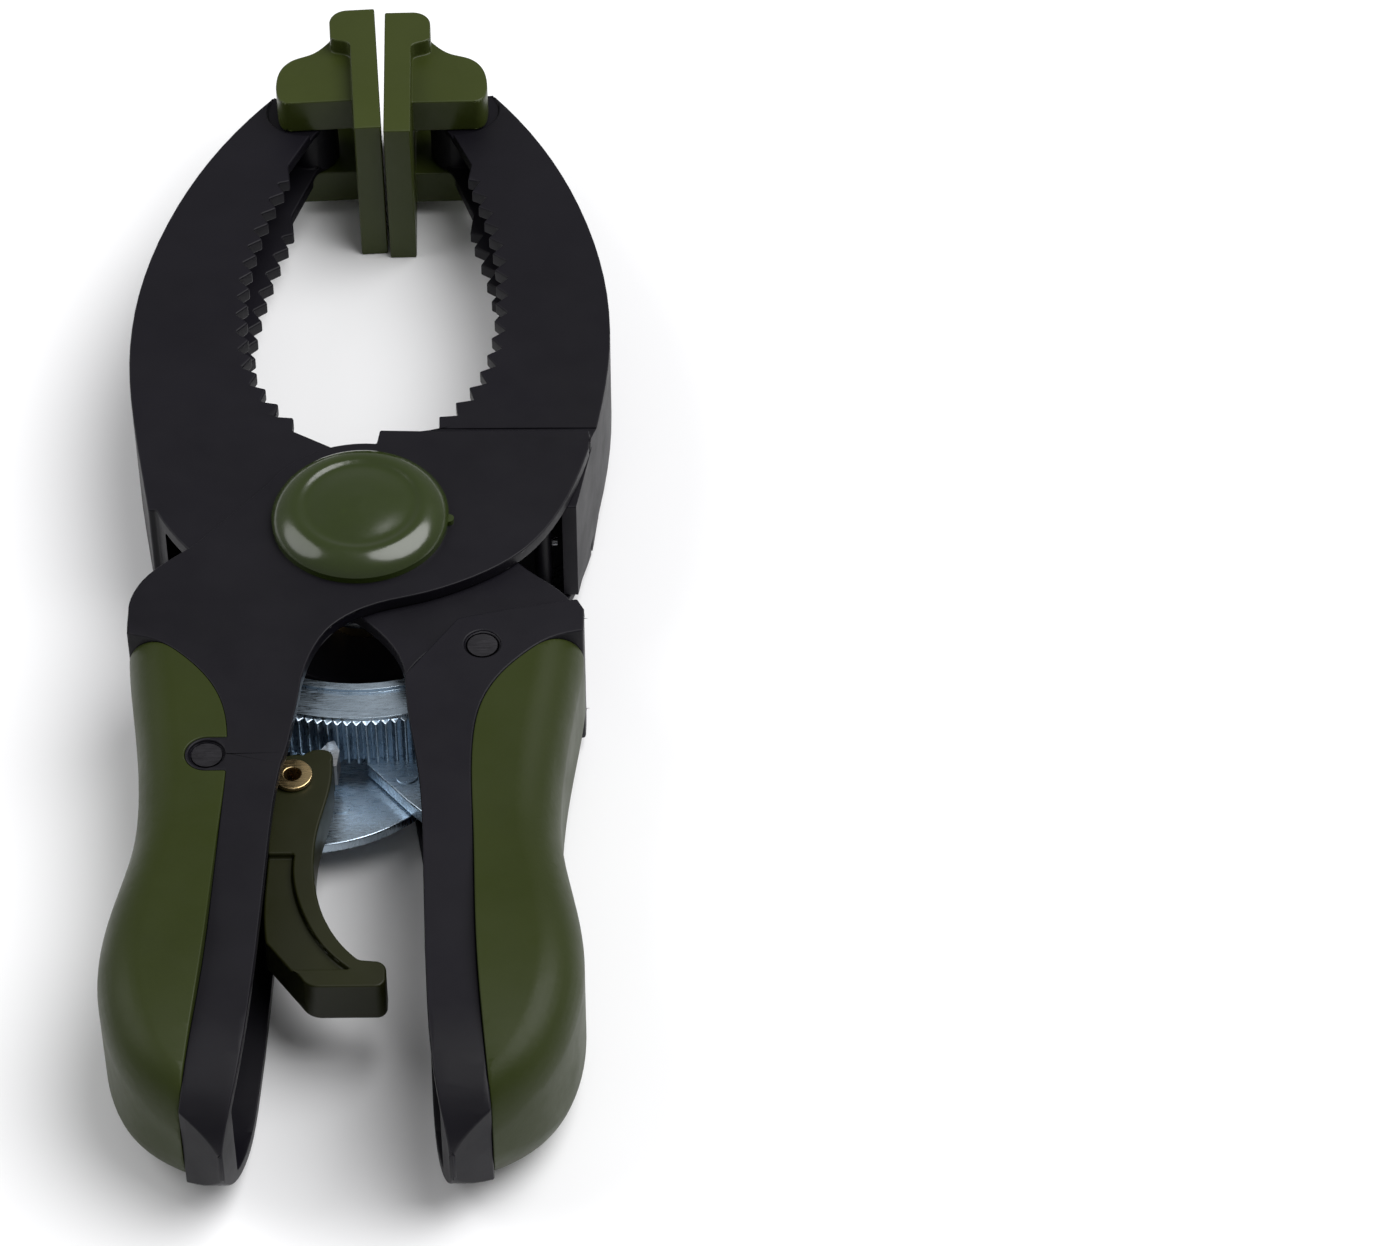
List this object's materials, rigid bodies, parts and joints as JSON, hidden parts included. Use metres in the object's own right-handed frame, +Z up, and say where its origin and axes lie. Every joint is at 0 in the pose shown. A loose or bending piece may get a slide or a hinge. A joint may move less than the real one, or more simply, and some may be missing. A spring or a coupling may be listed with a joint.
{
  "type": "ratcheting hand clamp",
  "caption": "Ratcheting hand clamp with two crossed toothed jaws, swivelling pads, soft-gripped handles and a finger release trigger.",
  "frame": {"origin": "on the pivot axis in the plane that the clamp rests on, on the flat back of the pivot nut", "axes": "+Y from the handles to the jaws, +Z up along the pivot through the cap, +X to the jaw of the arm whose handle is on the left"},
  "size_m": [0.0844, 0.2574, 0.0342],
  "materials": {
    "black_nylon": "fine-grained, satin black glass-filled nylon",
    "green_grip": "soft satin leaf-green rubber",
    "green_pad": "satin olive-green plastic",
    "green_cap": "glossy leaf-green plastic",
    "green_trigger": "satin dark olive-green plastic",
    "zinc_plate": "bright zinc-plated steel with a bluish tint",
    "steel": "turned steel",
    "dark_steel": "black-oxide steel",
    "spring_steel": "drawn spring wire",
    "brass_rivet": "brass-plated hollow rivet",
    "brass_bush": "plain bearing bronze"
  },
  "bodies": {
    "left_handle_arm": {"arm_left_handle": "black_nylon", "grip_left": "green_grip", "handle_pin_left": "dark_steel", "carrier_plate": "zinc_plate", "carrier_rivet": "zinc_plate", "trigger_pin": "brass_rivet", "pivot_bolt": "steel", "pivot_washer": "steel", "pivot_nut": "steel", "pivot_cap": "green_cap", "pad_pin_right": "steel", "opening_spring": "spring_steel", "trigger_spring": "spring_steel"},
    "right_handle_arm": {"arm_right_handle": "black_nylon", "grip_right": "green_grip", "handle_pins_right": "dark_steel", "ratchet_sector": "zinc_plate", "sector_plate": "zinc_plate", "sector_rivets": "steel", "plate_rivet": "zinc_plate", "pivot_bush": "brass_bush", "pad_pin_left": "steel"},
    "trigger": {"release_trigger": "green_trigger", "pawl": "steel"},
    "right_pad": {"pad_right": "green_pad"},
    "left_pad": {"pad_left": "green_pad"}
  },
  "joints": [
    {"name": "pivot", "type": "hinge", "parent": "left_handle_arm", "child": "right_handle_arm", "pos_m": [0, 0, 0.01575], "axis": [0, 0, 1], "range_deg": [-0.2, 28], "deforming": ["opening_spring"]},
    {"name": "trigger_press", "type": "hinge", "parent": "left_handle_arm", "child": "trigger", "pos_m": [-0.0099, -0.0498, 0.01575], "axis": [0, 0, 1], "range_deg": [-12, 0], "stiffness_Nm_per_rad": 0.05, "springref_deg": 5.73, "deforming": ["trigger_spring"]},
    {"name": "right_pad_swivel", "type": "hinge", "parent": "left_handle_arm", "child": "right_pad", "pos_m": [0.0139, 0.1132, 0.01575], "axis": [0, 0, 1], "range_deg": [-0.2, 14.1]},
    {"name": "left_pad_swivel", "type": "hinge", "parent": "right_handle_arm", "child": "left_pad", "pos_m": [-0.0139, 0.1132, 0.01575], "axis": [0, 0, 1], "range_deg": [-14.1, 0.2]}
  ],
  "couplings": [
    {"joint": "right_pad_swivel", "follows": "pivot", "ratio": 0.5},
    {"joint": "left_pad_swivel", "follows": "pivot", "ratio": -0.5}
  ]
}
